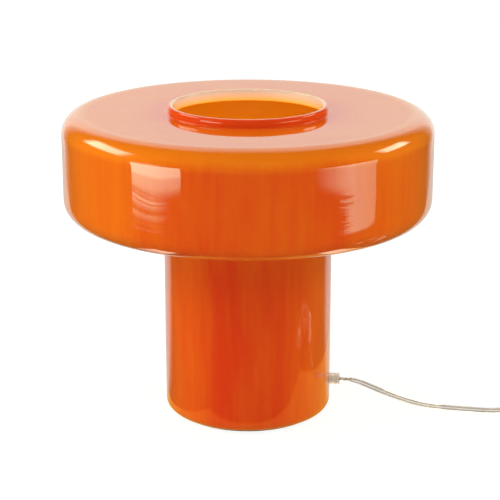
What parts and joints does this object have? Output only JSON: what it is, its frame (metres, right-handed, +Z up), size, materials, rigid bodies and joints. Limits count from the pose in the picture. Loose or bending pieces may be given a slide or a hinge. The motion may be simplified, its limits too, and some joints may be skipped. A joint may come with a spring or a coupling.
{
  "type": "table lamp",
  "caption": "Table lamp of orange cased glass: a wide low drum with an open collar on a cylindrical foot, an opal bulb inside, and a clear twin flex with an in-line switch and plug.",
  "frame": {"origin": "centre of the underside of the felt under the foot, where the lamp rests on the table", "axes": "+Z up along the axis of the glass, +X towards the side where the flex leaves the foot, -Y towards the front"},
  "size_m": [0.5699, 0.35, 0.3022],
  "materials": {
    "cased_glass": "gloss",
    "felt": "matte",
    "zinc_steel": "satin",
    "rubber": "matte",
    "holder_resin": "satin",
    "porcelain": "gloss",
    "brass": "satin",
    "bulb_opal": "matte",
    "bulb_metal": "satin",
    "bulb_black": "gloss",
    "clear_pvc": "gloss",
    "clear_shell": "gloss",
    "copper": "satin",
    "nickel": "polished",
    "tie_paper": "matte"
  },
  "bodies": {
    "lamp": {"glass_drum": "cased_glass", "glass_foot": "cased_glass", "glass_base": "cased_glass", "felt_ring": "felt", "lower_washer": "rubber", "bolt_disc": "zinc_steel", "bolt_nut": "zinc_steel", "seat_gasket": "rubber", "seat_plate": "zinc_steel", "holder_bracket": "zinc_steel", "clamp_bolt": "zinc_steel", "nipple": "zinc_steel", "nipple_nut": "zinc_steel", "nipple_washer": "zinc_steel", "holder_cap": "holder_resin", "holder_sleeve": "holder_resin", "holder_core": "porcelain", "terminal_screws": "brass", "screw_shell": "brass", "centre_contact": "brass", "flex_bush": "clear_shell", "bush_nut": "clear_shell", "flex_inner": "clear_pvc", "flex_cores": "copper", "flex_lead": "clear_pvc", "switch_base": "clear_shell", "switch_cover": "clear_shell", "switch_contacts": "brass", "switch_core": "copper", "switch_screws": "zinc_steel", "flex_link": "clear_pvc", "flex_coil": "clear_pvc", "coil_tie": "tie_paper", "flex_end": "clear_pvc", "plug_body": "clear_shell", "plug_pins": "nickel", "pin_sleeves": "bulb_black"},
    "bulb": {"bulb_contact": "brass", "bulb_insulator": "bulb_black", "bulb_cap": "bulb_metal", "bulb_envelope": "bulb_opal"},
    "rocker": {"switch_rocker": "clear_shell"}
  },
  "joints": [
    {"name": "bulb_lift", "type": "slide", "parent": "lamp", "child": "bulb", "axis": [0, 0, 1], "range_m": [0, 0.225]},
    {"name": "rocker_tilt", "type": "hinge", "parent": "lamp", "child": "rocker", "pos_m": [0.31683, -0.031, 0.011], "axis": [0, 1, 0], "range_deg": [0, 16]}
  ]
}
